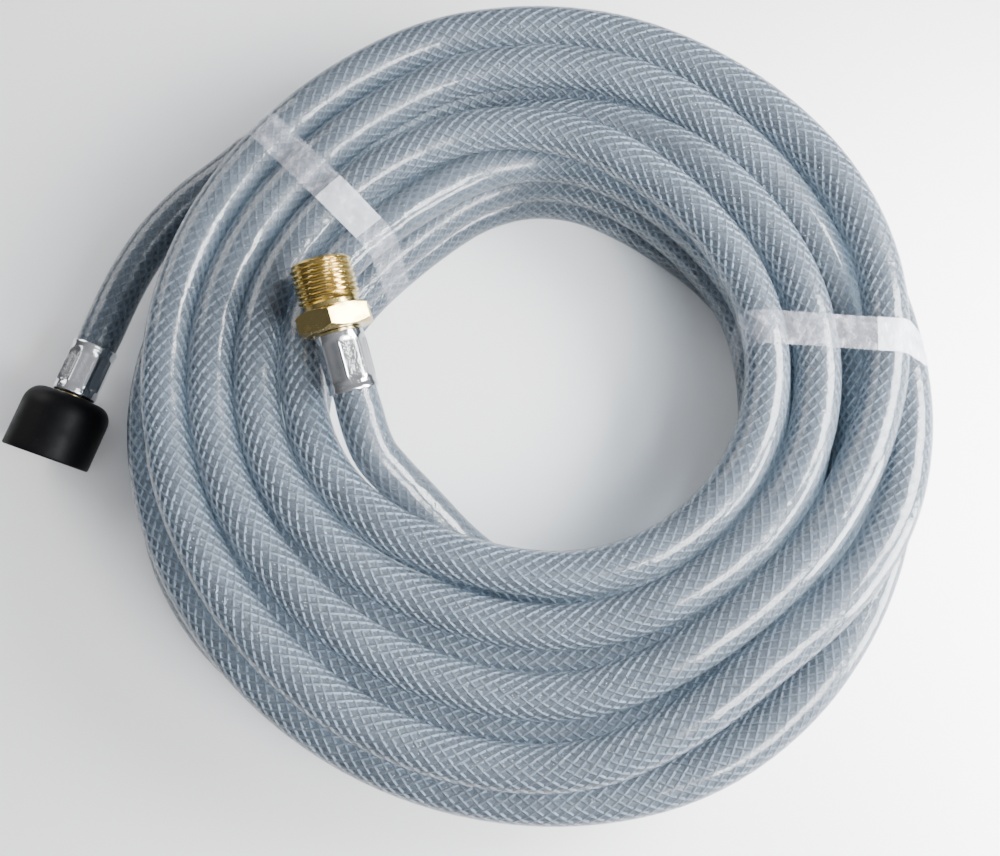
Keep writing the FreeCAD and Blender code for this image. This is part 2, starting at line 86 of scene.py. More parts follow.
def swell(angle: float, rise: float, top: float, fall: float, end: float) -> float:
    """0 up to rise, 1 from top to fall and 0 again from end, once round the coil.

    Args:
        angle: Winding angle.
        rise: Angle at which the swell starts.
        top: Angle from which it is full.
        fall: Angle up to which it is full.
        end: Angle at which it is gone.

    Returns:
        The swell's share from 0 to 1.
    """
    a = rise + (angle - rise) % 360
    return smooth((a - rise) / (top - rise)) - smooth((a - fall) / (end - fall))


@dataclass(frozen=True)
class Axis:
    """Mouth of a ferrule and the direction in which the parts on it are built up."""

    mouth: Vector
    along: Vector

    def matrix(self) -> Matrix:
        """Turns parts built along +Z, with +X up, into their place."""
        z = self.along.normalized()
        across = z.cross(Vector((0, 0, 1))).normalized()
        up = across.cross(z)
        turn = Matrix((up, -across, z)).transposed().to_4x4()
        return Matrix.Translation(self.mouth) @ turn


MALE_AXIS = Axis(Vector((-0.0351519, -0.0096555, 0.06305)), Vector((-0.258223, 0.937474, 0.233373)))
NUT_AXIS = Axis(Vector((-0.1460446, 0.0202773, 0.016)), Vector((-0.329139, -0.944281, 0.0)))


@dataclass
class Surface:
    """Rows of points that make one surface, with map coordinates.

    The map's first coordinate runs from 0 to 1 across a row, and its second is in metres from row to row.
    """

    points: np.ndarray
    along: np.ndarray
    closed_across: bool = True
    closed_along: bool = False
    capped: bool = False

    def faces(self) -> tuple[list[tuple[int, ...]], list[tuple[float, float]]]:
        """Works out the faces and their corners' map coordinates.

        Returns:
            The faces as point numbers, and one map coordinate for each corner of each face.
        """
        rows, columns = self.points.shape[:2]
        spans = columns if self.closed_across else columns - 1
        steps = rows if self.closed_along else rows - 1
        faces = []
        corners = []
        for i in range(steps):
            k = (i + 1) % rows
            low = self.along[i]
            high = self.along[k] if k else low + abs(self.along[1] - self.along[0])
            for j in range(spans):
                m = (j + 1) % columns
                faces.append((i * columns + j, i * columns + m, k * columns + m, k * columns + j))
                left = j / spans
                right = (j + 1) / spans
                corners += [(left, low), (right, low), (right, high), (left, high)]
        if self.capped:
            for row, order in ((0, -1), (rows - 1, 1)):
                faces.append(tuple(row * columns + j for j in range(columns))[::order])
                corners += [(j / columns, self.along[row]) for j in range(columns)][::order]
        return faces, corners

    def piece(self, name: str, sharp_degrees: float = 40.0) -> Piece:
        """Makes a Blender object of the surface alone."""
        return piece_of([self], name, sharp_degrees)


def piece_of(surfaces: list[Surface], name: str, sharp_degrees: float = 40.0) -> Piece:
    """Makes one Blender object of several surfaces.

    Args:
        surfaces: The surfaces.
        name: The piece's name.
        sharp_degrees: Edges that turn by more than this stay sharp.

    Returns:
        The new object, linked to the scene.
    """
    faces = []
    corners = []
    first = 0
    for surface in surfaces:
        own, places = surface.faces()
        faces += [tuple(first + number for number in face) for face in own]
        corners += places
        first += surface.points.shape[0] * surface.points.shape[1]
    points = np.concatenate([surface.points.reshape(-1, 3) for surface in surfaces])
    mesh = bpy.data.meshes.new(name)
    mesh.from_pydata(points.tolist(), [], faces)
    mesh.uv_layers.new(name="Along")
    mesh.uv_layers["Along"].data.foreach_set("uv", np.array(corners, np.float32).ravel())
    mesh.polygons.foreach_set("use_smooth", [True] * len(mesh.polygons))
    mesh.set_sharp_from_angle(angle=math.radians(sharp_degrees))
    mesh.update()
    piece = bpy.data.objects.new(name, mesh)
    bpy.context.scene.collection.objects.link(piece)
    return piece


def lathe(profile: list[Row], axis: Axis, columns: int = 96, shape: Shape | None = None) -> Surface:
    """Turns a closed profile about an axis.

    Args:
        profile: (radius, height) corners, in order.
        axis: Where the turned part lies.
        columns: Points round the part.
        shape: Changes a radius by itself, its height and its angle in radians.

    Returns:
        The turned surface.
    """
    place = axis.matrix()
    points = np.zeros((len(profile), columns, 3))
    along = np.zeros(len(profile))
    for i, (radius, height) in enumerate(profile):
        if i:
            along[i] = along[i - 1] + math.dist(profile[i], profile[i - 1])
        for j in range(columns):
            a = math.tau * j / columns
            r = shape(radius, height, a) if shape else radius
            points[i, j] = place @ Vector((r * math.cos(a), r * math.sin(a), height))
    return Surface(points, along, closed_along=True)


def between(start: Row, end: Row, step: float) -> list[Row]:
    """Profile corners from start up to, but without, end.

    Args:
        start: First (radius, height).
        end: (radius, height) that the next stretch starts with.
        step: Longest distance between two corners.

    Returns:
        The corners.
    """
    count = max(1, math.ceil(math.dist(start, end) / step))
    return [tuple(a + (b - a) * i / count for a, b in zip(start, end)) for i in range(count)]


def runs(corners: list[Row], *steps: float) -> list[Row]:
    """Corners of several runs on end, none of a run's further apart than its step."""
    rows = []
    for start, end, step in zip(corners, corners[1:], steps):
        rows += between(start, end, step)
    return rows


def profile_of(corners: list[Row], step: float) -> list[Row]:
    """A closed profile with further corners on its runs, none further apart than step."""
    return runs(corners + corners[:1], *[step] * len(corners))


@dataclass
class Thread:
    """A parallel pipe thread with rounded crests and roots."""

    crest: float
    root: float
    start: float
    end: float
    side: Side
    pitch: float = 0.001814
    run_out: float = 0.0012
    flat: float = 0.14

    def radius(self, radius: float, height: float, angle: float) -> float:
        """The thread's radius at a height and an angle, or the radius itself beside the thread.

        Args:
            radius: Radius of the plain part.
            height: Height along the axis.
            angle: Angle round the axis in radians.

        Returns:
            The radius of the threaded surface.
        """
        if not self.start <= height <= self.end:
            return radius
        turn = (height / self.pitch - angle / math.tau) % 1.0
        depth = smooth((abs(2 * turn - 1) - self.flat) / (1 - 2 * self.flat))
        if self.side is Side.OUTSIDE:
            depth *= smooth((height - self.start) / self.run_out)
            return min(radius, self.crest - (self.crest - self.root) * depth)
        depth *= smooth((self.end - height) / self.run_out)
        return max(radius, self.crest + (self.root - self.crest) * depth)


class Sheet:
    """Short ways to add and join the nodes of one material or group."""

    def __init__(self, tree: bpy.types.NodeTree) -> None:
        """Keeps the node tree."""
        self.tree = tree

    def put(self, socket: Socket, value: object) -> None:
        """Links a socket to an output, or sets its value."""
        if isinstance(value, Socket):
            self.tree.links.new(value, socket)
        elif isinstance(value, tuple) and len(value) == 3 and socket.type == "RGBA":
            socket.default_value = (*value, 1.0)
        else:
            socket.default_value = value

    def node(self, kind: str, inputs: dict | None = None, **settings: object) -> bpy.types.Node:
        """Adds a node.

        Args:
            kind: The node's type name.
            inputs: Values or outputs for its inputs, by name or number.
            settings: The node's own settings.

        Returns:
            The new node.
        """
        node = self.tree.nodes.new(kind)
        for key, value in settings.items():
            setattr(node, key, value)
        for key, value in (inputs or {}).items():
            self.put(node.inputs[key], value)
        return node

    def math(self, operation: str, *values: object) -> Socket:
        """Adds a Math node and returns its output."""
        return self.node("ShaderNodeMath", dict(enumerate(values)), operation=operation).outputs[0]

    def ramp(self, value: object, low: float, high: float, to: Row = (0.0, 1.0)) -> Socket:
        """Maps a value smoothly from low and high to two other values.

        Args:
            value: The value or output to map.
            low: Value that gives the first of to.
            high: Value that gives the second of to.
            to: The two values given.

        Returns:
            The mapped output.
        """
        inputs = {0: value, 1: low, 2: high, 3: to[0], 4: to[1]}
        return self.node("ShaderNodeMapRange", inputs, interpolation_type="SMOOTHSTEP").outputs[0]

    def mix(self, share: object, a: object, b: object) -> Socket:
        """Mixes two colours and returns the mixed one."""
        return self.node("ShaderNodeMix", {0: share, 6: a, 7: b}, data_type="RGBA").outputs[2]

    def noise(self, place: object, scale: float, detail: float = 3.0) -> Socket:
        """Adds a noise texture and returns its value."""
        inputs = {"Vector": place, "Scale": scale, "Detail": detail}
        return self.node("ShaderNodeTexNoise", inputs).outputs[0]

    def place(self) -> Socket:
        """The point in the piece's own metres."""
        return self.node("ShaderNodeTexCoord").outputs["Object"]

    def times(self, vector: object, scale: Triple) -> Socket:
        """Multiplies a vector by another, part by part."""
        return self.node("ShaderNodeVectorMath", {0: vector, 1: scale}, operation="MULTIPLY").outputs[0]

    def scaled(self, vector: object, factor: object) -> Socket:
        """Multiplies a vector by a number."""
        return self.node("ShaderNodeVectorMath", {0: vector, "Scale": factor}, operation="SCALE").outputs[0]

    def stretched(self, scale: Triple) -> Socket:
        """The piece's map coordinates, scaled."""
        return self.times(self.node("ShaderNodeTexCoord").outputs["UV"], scale)

    def bump(self, height: object, distance: float, strength: float = 1.0) -> Socket:
        """Adds a bump node of a real height in metres and returns its normal."""
        inputs = {"Height": height, "Distance": distance, "Strength": strength}
        return self.node("ShaderNodeBump", inputs).outputs[0]

    def surface(self, inputs: dict) -> Socket:
        """Adds a Principled shader and returns its output."""
        return self.node("ShaderNodeBsdfPrincipled", inputs).outputs[0]

    def dulled(self, marks: bpy.types.NodeOutputs, roughness: float, more: float) -> Socket:
        """A roughness that grows by more in the cloudy patches."""
        return self.ramp(marks["Patches"], 0.0, 1.0, (roughness, roughness + more))

    def lit_through(self, shader: object, share: float, tint: Colour) -> Socket:
        """Lets part of the lamps' light through a see-through surface, so it throws a light shadow.

        Args:
            shader: The surface's shader.
            share: How much of the light goes through.
            tint: Colour of the light that has gone through.

        Returns:
            The shader output.
        """
        clear = self.node("ShaderNodeBsdfTransparent", {0: tint}).outputs[0]
        shadow = self.node("ShaderNodeLightPath").outputs["Is Shadow Ray"]
        through = self.math("MULTIPLY", shadow, share)
        return self.node("ShaderNodeMixShader", {0: through, 1: shader, 2: clear}).outputs[0]


class Handling:
    """Shader group that the finishes share: fine scratches, specks and cloudy patches of use."""

    name = "handling marks"
    inputs = {"Place": "NodeSocketVector", "Scale": "NodeSocketFloat"}
    outputs = {"Scratches": "NodeSocketFloat", "Patches": "NodeSocketFloat", "Specks": "NodeSocketFloat"}

    def tree(self) -> bpy.types.NodeTree:
        """The group, built at its first use."""
        if self.name in bpy.data.node_groups:
            return bpy.data.node_groups[self.name]
        tree = bpy.data.node_groups.new(self.name, "ShaderNodeTree")
        for side, sockets in (("INPUT", self.inputs), ("OUTPUT", self.outputs)):
            for name, kind in sockets.items():
                tree.interface.new_socket(name, in_out=side, socket_type=kind)
        start = tree.nodes.new("NodeGroupInput")
        end = tree.nodes.new("NodeGroupOutput")
        for name, socket in self.build(Sheet(tree), start.outputs).items():
            tree.links.new(socket, end.inputs[name])
        return tree

    def build(self, sheet: Sheet, given: bpy.types.NodeOutputs) -> dict[str, Socket]:
        """Builds the group's nodes.

        Args:
            sheet: Where the nodes go.
            given: The group's inputs.

        Returns:
            One socket for each of the group's outputs.
        """
        scaled = sheet.scaled(given["Place"], given["Scale"])
        lines = sheet.times(scaled, (9.0, 1.0, 3.0))
        return {
            "Scratches": sheet.ramp(sheet.noise(lines, 3.0, 4.0), 0.62, 0.7),
            "Patches": sheet.ramp(sheet.noise(scaled, 0.6, 5.0), 0.35, 0.7),
            "Specks": sheet.ramp(sheet.noise(scaled, 7.0, 2.0), 0.68, 0.74),
        }


class Finish:
    """A surface finish, given to pieces as one material."""

    name: str

    def material(self) -> bpy.types.Material:
        """The finish's material, built at its first use."""
        if self.name in bpy.data.materials:
            return bpy.data.materials[self.name]
        material = bpy.data.materials.new(self.name)
        material.use_nodes = True
        tree = material.node_tree
        tree.nodes.clear()
        output = tree.nodes.new("ShaderNodeOutputMaterial")
        tree.links.new(self.shader(Sheet(tree)), output.inputs["Surface"])
        return material

    def shader(self, sheet: Sheet) -> Socket:
        """Builds the finish's nodes and returns the shader output."""
        raise NotImplementedError

    def marks(self, sheet: Sheet, scale: float) -> tuple[Socket, bpy.types.NodeOutputs]:
        """The point in the piece's own metres, and the marks of handling there."""
        place = sheet.place()
        inputs = {"Place": place, "Scale": scale}
        return place, sheet.node("ShaderNodeGroup", inputs, node_tree=Handling().tree()).outputs

    def dress(self, piece: Piece) -> None:
        """Gives the piece this finish alone."""
        piece.data.materials.clear()
        piece.data.materials.append(self.material())


@dataclass(frozen=True)
class YarnFinish(Finish):
    """White yarn of fine filaments that shines across its own direction."""

    name = "white yarn"
    colour: Colour = (0.17, 0.21, 0.26)
    filaments: Triple = (9.0, 90.0, 1.0)
    filament_height: float = 0.0001
    sheen: float = 0.92
    roughness: float = 0.34
    stretch: float = 0.9
    through: float = 0.8

    def shader(self, sheet: Sheet) -> Socket:
        """See Finish.shader."""
        strands = sheet.noise(sheet.stretched(self.filaments), 1.0, 2.0)
        tone = sheet.ramp(sheet.noise(sheet.place(), 60.0), 0.3, 0.7, (0.85, 1.0))
        bright = sheet.math("MULTIPLY", tone, sheet.ramp(strands, 0.3, 0.7, (0.8, 1.0)))
        tangent = sheet.node("ShaderNodeTangent", direction_type="UV_MAP", uv_map="Along").outputs[0]
        yarn = sheet.surface({
            "Base Color": sheet.scaled(self.colour, bright),
            "Metallic": self.sheen,
            "Roughness": self.roughness,
            "Anisotropic": self.stretch,
            "Tangent": tangent,
            "Normal": sheet.bump(strands, self.filament_height),
        })
        return sheet.lit_through(yarn, self.through, WHITE)


@dataclass(frozen=True)
class BoreShadeLinerFinish(Finish):
    """Inner layer of the hose, behind the yarns: a real inner wall, coloured near-black as painted shade of
    the hollow bore seen between the yarns.
    """

    name = "inner layer"
    # Near-black colour: painted shade of the hollow bore inside the hose
    colour: Colour = (0.030, 0.050, 0.074)
    cloudy: Colour = (0.055, 0.078, 0.104)
    marks_scale: float = 90.0
    roughness: float = 0.35
    patchy: float = 0.15
    grain: float = 0.0002
    depth: float = 0.008
    through: float = 0.8
    tint: Colour = (0.92, 0.97, 1.0)

    def shader(self, sheet: Sheet) -> Socket:
        """See Finish.shader."""
        place, marks = self.marks(sheet, self.marks_scale)
        cloud = sheet.math("MULTIPLY", marks["Patches"], 0.5)
        layer = sheet.surface({
            "Base Color": sheet.mix(cloud, self.colour, self.cloudy),
            "Roughness": sheet.dulled(marks, self.roughness, self.patchy),
            "Specular IOR Level": 0.15,
            "Subsurface Weight": 1.0,
            "Subsurface Radius": (0.8, 0.9, 1.0),
            "Subsurface Scale": self.depth,
            "Normal": sheet.bump(sheet.noise(place, 400.0), self.grain),
        })
        return sheet.lit_through(layer, self.through, self.tint)


@dataclass(frozen=True)
class VinylFinish(Finish):
    """Clear soft vinyl of the hose's wall, its tint greyer towards the silhouette as painted shade on the
    rims.
    """

    name = "clear vinyl"
    tint: Colour = (0.93, 0.97, 1.0)
    # edge: greyer tint at grazing angles, painted shade on the hose's rims
    edge: Colour = (0.66, 0.70, 0.74)
    marks_scale: float = 90.0
    clear: float = 0.96
    roughness: float = 0.15
    patchy: float = 0.08
    ripple: float = 0.0004
    ior: float = 1.5

    def shader(self, sheet: Sheet) -> Socket:
        """See Finish.shader."""
        place, marks = self.marks(sheet, self.marks_scale)
        scratches = sheet.math("MULTIPLY", marks["Scratches"], 0.15)
        ripple = sheet.math("ADD", sheet.noise(place, 130.0, 2.0), scratches)
        # Share of painted rim shade: the tint turns to edge as the surface turns away from view
        painted_rim_shade_share = sheet.node("ShaderNodeLayerWeight", {"Blend": 0.35}).outputs["Facing"]
        glass = sheet.surface({
            "Base Color": sheet.mix(sheet.ramp(painted_rim_shade_share, 0.45, 1.0), self.tint, self.edge),
            "Roughness": sheet.dulled(marks, self.roughness, self.patchy),
            "IOR": self.ior,
            "Transmission Weight": self.clear,
            "Normal": sheet.bump(ripple, self.ripple),
        })
        return sheet.lit_through(glass, 1.0, self.tint)


@dataclass(frozen=True)
class MetalFinish(Finish):
    """Turned, drawn or plated metal with light marks of use."""

    name: str
    colour: Colour
    tarnish: Colour
    roughness: float
    tool_marks: float
    marks_scale: float = 260.0
    patchy: float = 0.14
    rings: Triple = (2.0, 9000.0, 1.0)

    def shader(self, sheet: Sheet) -> Socket:
        """See Finish.shader."""
        _, marks = self.marks(sheet, self.marks_scale)
        rings = sheet.noise(sheet.stretched(self.rings), 1.0, 2.0)
        dull = sheet.math("MULTIPLY", marks["Patches"], 0.45)
        height = sheet.math("SUBTRACT", rings, sheet.math("MULTIPLY", marks["Scratches"], 1.2))
        return sheet.surface({
            "Base Color": sheet.mix(dull, self.colour, self.tarnish),
            "Metallic": 1.0,
            "Roughness": sheet.dulled(marks, self.roughness, self.patchy),
            "Normal": sheet.bump(height, self.tool_marks),
        })


@dataclass(frozen=True)
class MouldedFinish(Finish):
    """Moulded plastic or rubber with a fine grain."""

    name: str
    colour: Colour
    worn: Colour
    roughness: float
    grain: float
    gloss: float = 0.3
    marks_scale: float = 210.0
    patchy: float = 0.12
    grain_scale: float = 4200.0

    def shader(self, sheet: Sheet) -> Socket:
        """See Finish.shader."""
        place, marks = self.marks(sheet, self.marks_scale)
        worn = sheet.math("MAXIMUM", sheet.math("MULTIPLY", marks["Scratches"], 0.5), marks["Specks"])
        fine = sheet.math("ADD", sheet.noise(place, self.grain_scale, 2.0), sheet.math("MULTIPLY", worn, 0.4))
        return sheet.surface({
            "Base Color": sheet.mix(sheet.math("MULTIPLY", worn, 0.6), self.colour, self.worn),
            "Roughness": sheet.dulled(marks, self.roughness, self.patchy),
            "Specular IOR Level": self.gloss,
            "Normal": sheet.bump(fine, self.grain),
        })


@dataclass(frozen=True)
class TapeFinish(Finish):
    """Thin clear tape with haze and creases."""

    name: str = "clear tape"
    colour: Colour = (0.74, 0.74, 0.82)
    haze: float = 0.14
    marks_scale: float = 160.0
    roughness: float = 0.12
    patchy: float = 0.18
    creases: Triple = (3.0, 240.0, 1.0)
    crease_height: float = 0.0006

    def shader(self, sheet: Sheet) -> Socket:
        """See Finish.shader."""
        _, marks = self.marks(sheet, self.marks_scale)
        crease = sheet.noise(sheet.stretched(self.creases), 1.0, 4.0)
        return sheet.surface({
            "Base Color": self.colour,
            "Roughness": sheet.dulled(marks, self.roughness, self.patchy),
            "Alpha": sheet.math("MULTIPLY_ADD", sheet.ramp(crease, 0.45, 0.75), 0.25, self.haze),
            "Normal": sheet.bump(crease, self.crease_height),
        })


@dataclass(frozen=True)
class FloorFinish(Finish):
    """Plain pale floor with a faint mottle."""

    name = "pale floor"
    colour: Colour = (0.95, 0.95, 0.95)
    mottled: Colour = (0.93, 0.93, 0.94)
    roughness: float = 0.6

    def shader(self, sheet: Sheet) -> Socket:
        """See Finish.shader."""
        mottle = sheet.ramp(sheet.noise(sheet.place(), 3.0), 0.3, 0.7)
        return sheet.surface({
            "Base Color": sheet.mix(mottle, self.colour, self.mottled),
            "Roughness": self.roughness,
        })


BRASS = MetalFinish("turned brass", (0.64, 0.51, 0.22), (0.34, 0.26, 0.09), 0.16, 0.000006)
PLATED = MetalFinish("plated ferrule", (0.78, 0.79, 0.81), (0.42, 0.43, 0.45), 0.1, 0.000006)
BLACK = MouldedFinish("black plastic", (0.003, 0.003, 0.0034), (0.016, 0.016, 0.018), 0.42, 0.00002, 0.1)
LAPPED = TapeFinish("lapped tape", (0.9, 0.92, 1.0), 0.42)
RUBBER = MouldedFinish("grey rubber", (0.045, 0.045, 0.045), (0.10, 0.10, 0.10), 0.7, 0.00004)


def placed(piece: Piece, finish: Finish, slot: str, *nodes: str, body: str = "hose") -> Piece:
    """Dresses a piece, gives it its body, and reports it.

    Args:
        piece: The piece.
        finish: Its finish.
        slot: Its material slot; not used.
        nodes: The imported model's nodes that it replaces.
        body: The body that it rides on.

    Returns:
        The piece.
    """
    finish.dress(piece)
    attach(piece, body)
    if nodes:
        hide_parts(*nodes)
    log.info("%s: %d faces", piece.name, len(piece.data.polygons))
    return piece


@dataclass
class WoundHose:
    """The hose: its route, its clear wall and the braid in it."""

    outer_radius: float = 0.0075
    bulge: float = 0.00026
    bulge_rise: float = 0.006
    crimped: float = 0.0215
    liner_radius: float = 0.0060
    yarn_radius: float = 0.0065
    yarn_foot: float = 0.00594
    yarn_width: float = 0.0014
    yarn_weave: float = 0.00008
    yarns: int = 12
    yarn_repeat: float = 0.0048
    length: float = 10.49
    pitch: float = 0.01605
    across: int = 4
    levels: int = 4
    hole_radius: float = 0.0675
    floor_height: float = 0.006
    lowest: float = 0.0003
    start_angle: float = 40.0
    first_step: float = 265.0
    step_span: float = 80.0
    corner_lead: float = 23.2
    tail_angle: float = 312.0
    tail_radius: float = 0.0675
    tail_in: float = 45.0
    tail_lift: float = 0.0077
    tail_lift_span: float = 26.0
    lead_out: float = 0.023
    lead_span: float = 110.0
    lead_drop: float = 50.0
    nut_height: float = 0.016
    points_in_turn: int = 24
    far_swell: tuple[float, ...] = (0.009, 0.009, 0.009, 0.0075)
    left_swell: float = 0.013
    near_outer: tuple[float, ...] = (0.032, 0.026, 0.026)
    near_inner: tuple[float, ...] = (0.009, 0.007, 0.006)
    floor_spread: float = 0.038
    right_swell: float = 0.005
    right_lean: tuple[float, ...] = (0.013, 0.005, 0.005, 0.0)
    corner_swell: float = 0.005
    far_angles: Angles = (30.0, 88.0, 88.0, 146.0)
    left_angles: Angles = (285.0, 340.0, 365.0, 420.0)
    near_angles: Angles = (178.0, 258.0, 345.0, 385.0)
    floor_angles: Angles = (268.0, 325.0, 335.0, 400.0)
    right_angles: Angles = (110.0, 170.0, 190.0, 235.0)
    corner_angles: Angles = (10.0, 45.0, 60.0, 88.0)
    nest_angles: Angles = (235.0, 272.0, 300.0, 345.0)
    middle: Row = (0.032561, 0.004614)
    to_nut: tuple[Triple, ...] = (
        (-0.15269, 0.00120, 0.016),
        (-0.14604, 0.02028, 0.016),
        (-0.13387, 0.05522, 0.016),
        (-0.11670, 0.07982, 0.016),
        (-0.09815, 0.09504, 0.016),
    )
    to_male: tuple[Triple, ...] = (
        (-0.0235, -0.0359, 0.0532),
        (-0.0300, -0.0284, 0.0584),
        (-0.03515, -0.00966, 0.06305),
        (-0.04037, 0.00928, 0.06776),
    )

    def turns(self) -> list[tuple[int, int]]:
        """Place outwards from the hole and level up from the floor of each turn, in winding order."""
        turns = [(place, 1) for place in range(self.across, 0, -1)]
        turns += [(place, 2) for place in range(1, self.across + 1)]
        for place in range(self.across, 0, -1):
            pair = [3, 4] if (self.across - place) % 2 == 0 else [4, 3]
            turns += [(place, level) for level in pair]
        return turns

    def steps(self, turns: list[tuple[int, int]]) -> list[float]:
        """Winding angle at the middle of each step from one turn's place to the next."""
        angles = []
        middle = self.first_step
        before = None
        for i in range(1, len(turns)):
            way = (turns[i][0] - turns[i - 1][0], turns[i][1] - turns[i - 1][1])
            if before is not None and way != before:
                middle -= self.corner_lead
            angles.append(middle + 360 * (i - 1))
            before = way
        return angles

    def edges(self, angle: float, level: int) -> tuple[float, float]:
        """Radii of a level's innermost and outermost places at a winding angle."""
        far = self.far_swell[level - 1] * swell(angle, *self.far_angles)
        left = self.left_swell * swell(angle, *self.left_angles)
        right = swell(angle, *self.right_angles)
        lean = self.right_lean[level - 1]
        inner = self.hole_radius + self.outer_radius + far + left + lean * right
        outer = inner + (self.across - 1) * self.pitch
        outer += self.corner_swell * swell(angle, *self.corner_angles)
        outer += max(self.right_swell - lean, 0.0) * right
        if level <= len(self.near_outer):
            near = swell(angle, *self.near_angles)
            inner += self.near_inner[level - 1] * near
            outer += (self.near_outer[level - 1] - left) * near
        if level == 1:
            outer += self.floor_spread * swell(angle, *self.floor_angles)
        return inner, outer

    def nested(self, angle: float, turn: Row, radius: float, height: float) -> Row:
        """Sinks a turn of the top level between the turns of the level below it.

        Args:
            angle: Winding angle.
            turn: The turn's place outwards and its level.
            radius: Its radius as it was.
            height: Its height as it was.

        Returns:
            The new radius and height.
        """
        place, level = turn
        sink = swell(angle, *self.nest_angles) * min(place - 1, 1.0) * max(level - self.levels + 1, 0.0)
        inner, outer = self.edges(angle, self.levels - 1)
        spacing = (outer - inner) / (self.across - 1)
        radius += (inner + spacing * (place - 1.5) - radius) * sink
        across = (radius - inner) / spacing
        aside = spacing * (across - round(across))
        rest = self.floor_height + (self.levels - 2) * self.pitch
        rest += math.sqrt(max(self.pitch**2 - aside**2, 0.0))
        return radius, height + (rest - height) * sink

    def route(self) -> list[Vector]:
        """Control points from the nut's ferrule through all the turns to the male connector's.

        Returns:
            The points of the hose's one spline.
        """
        turns = self.turns()
        steps = self.steps(turns)
        end = 360 * (len(turns) - 2) + self.tail_angle
        count = round((end - self.start_angle) / 360 * self.points_in_turn)
        inset = math.cos(math.pi / self.points_in_turn)
        points = [Vector(p) for p in self.to_nut]
        for i in range(count + 1):
            angle = self.start_angle + (end - self.start_angle) * i / count
            place, level = turns[0]
            for k, middle in enumerate(steps):
                share = smooth((angle - middle) / self.step_span + 0.5)
                place += (turns[k + 1][0] - turns[k][0]) * share
                level += (turns[k + 1][1] - turns[k][1]) * share
            low = min(int(level), self.levels - 1)
            lower, upper = self.edges(angle, low), self.edges(angle, low + 1)
            inner, outer = [a + (b - a) * (level - low) for a, b in zip(lower, upper)]
            radius = inner + (outer - inner) * (place - 1) / (self.across - 1)
            height = self.floor_height + (level - 1) * self.pitch
            radius, height = self.nested(angle, (place, level), radius, height)
            radius += self.lead_out * max(1 - (angle - self.start_angle) / self.lead_span, 0.0) ** 2
            drop = 1 - smooth((angle - self.start_angle) / self.lead_drop)
            height += (self.nut_height - self.floor_height) * drop
            radius += (self.tail_radius - radius) * smooth((angle - end) / self.tail_in + 1)
            height += self.tail_lift * max((angle - end) / self.tail_lift_span + 1, 0.0) ** 2
            radius /= inset
            a = math.radians(angle)
            x, y = self.middle
            points.append(Vector((x - radius * math.cos(a), y + radius * math.sin(a), height)))
        return points + [Vector(p) for p in self.to_male]

    def line(self) -> np.ndarray:
        """Points of the hose's centre line, read from its spline.

        Returns:
            The points in order, from the nut to the male connector.
        """
        route = self.route()
        curve = bpy.data.curves.new("hose_line", "CURVE")
        curve.dimensions = "3D"
        curve.resolution_u = 6
        spline = curve.splines.new("NURBS")
        spline.points.add(len(route) - 1)
        for point, place in zip(spline.points, route):
            point.co = (*place, 1.0)
        spline.order_u = 3
        spline.use_endpoint_u = True
        holder = bpy.data.objects.new("hose_line", curve)
        bpy.context.scene.collection.objects.link(holder)
        mesh = bpy.data.meshes.new_from_object(holder)
        points = np.array([v.co for v in mesh.vertices], float)
        bpy.data.objects.remove(holder)
        bpy.data.meshes.remove(mesh)
        return points

    def gone(self, line: np.ndarray) -> np.ndarray:
        """How far along a line each of its points lies."""
        return np.concatenate([[0.0], np.cumsum(np.linalg.norm(np.diff(line, axis=0), axis=1))])

    def evenly(self, line: np.ndarray, step: float) -> tuple[np.ndarray, np.ndarray]:
        """Points at even distances along a line, and how far along it each lies."""
        gone = self.gone(line)
        places = np.arange(0.0, gone[-1], step)
        return np.stack([np.interp(places, gone, line[:, k]) for k in range(3)], axis=1), places

    def frames(self, line: np.ndarray) -> tuple[np.ndarray, np.ndarray]:
        """Two directions square to the line at each point, turned as little as possible along it."""
        ahead = np.gradient(line, axis=0)
        ahead /= np.linalg.norm(ahead, axis=1)[:, None]
        side = np.cross(ahead[0], (0.0, 0.0, 1.0))
        sides = []
        for direction in ahead:
            side = side - direction * side.dot(direction)
            side /= np.linalg.norm(side)
            sides.append(side)
        sides = np.array(sides)
        return sides, np.cross(ahead, sides)

    def rings(self, line: np.ndarray, ways: tuple[np.ndarray, np.ndarray], angles: np.ndarray,
              radii: np.ndarray) -> np.ndarray:
        """Points round the line, pressed flat just over the floor where the hose rests on it.

        Args:
            line: The centre line.
            ways: Its two square directions at each point.
            angles: Angles round it, a row for each point of the line.
            radii: Distances from it, a row for each point of the line.

        Returns:
            The points, a row for each point of the line.
        """
        sides, ups = ways
        points = line[:, None] + radii[:, :, None] * (
            sides[:, None] * np.cos(angles)[:, :, None] + ups[:, None] * np.sin(angles)[:, :, None]
        )
        points[:, :, 2] = np.maximum(points[:, :, 2], self.lowest + self.outer_radius - radii)
        return points

    def tube(self, line: np.ndarray, radius: float, columns: int, bulge: float = 0.0) -> Surface:
        """A closed tube along the centre line.

        Args:
            line: The centre line.
            radius: The tube's radius inside the ferrules.
            columns: Points round it.
            bulge: How much wider it is between the ferrules.

        Returns:
            The tube's surface.
        """
        gone = self.gone(line)
        to_end = np.minimum(gone, gone[-1] - gone)
        wide = np.clip((to_end - self.crimped) / self.bulge_rise, 0.0, 1.0)
        radii = radius + bulge * wide * wide * (3 - 2 * wide)
        angles = np.tile(2 * math.pi * np.arange(columns) / columns, (len(line), 1))
        points = self.rings(line, self.frames(line), angles, np.tile(radii[:, None], (1, columns)))
        return Surface(points, gone, capped=True)

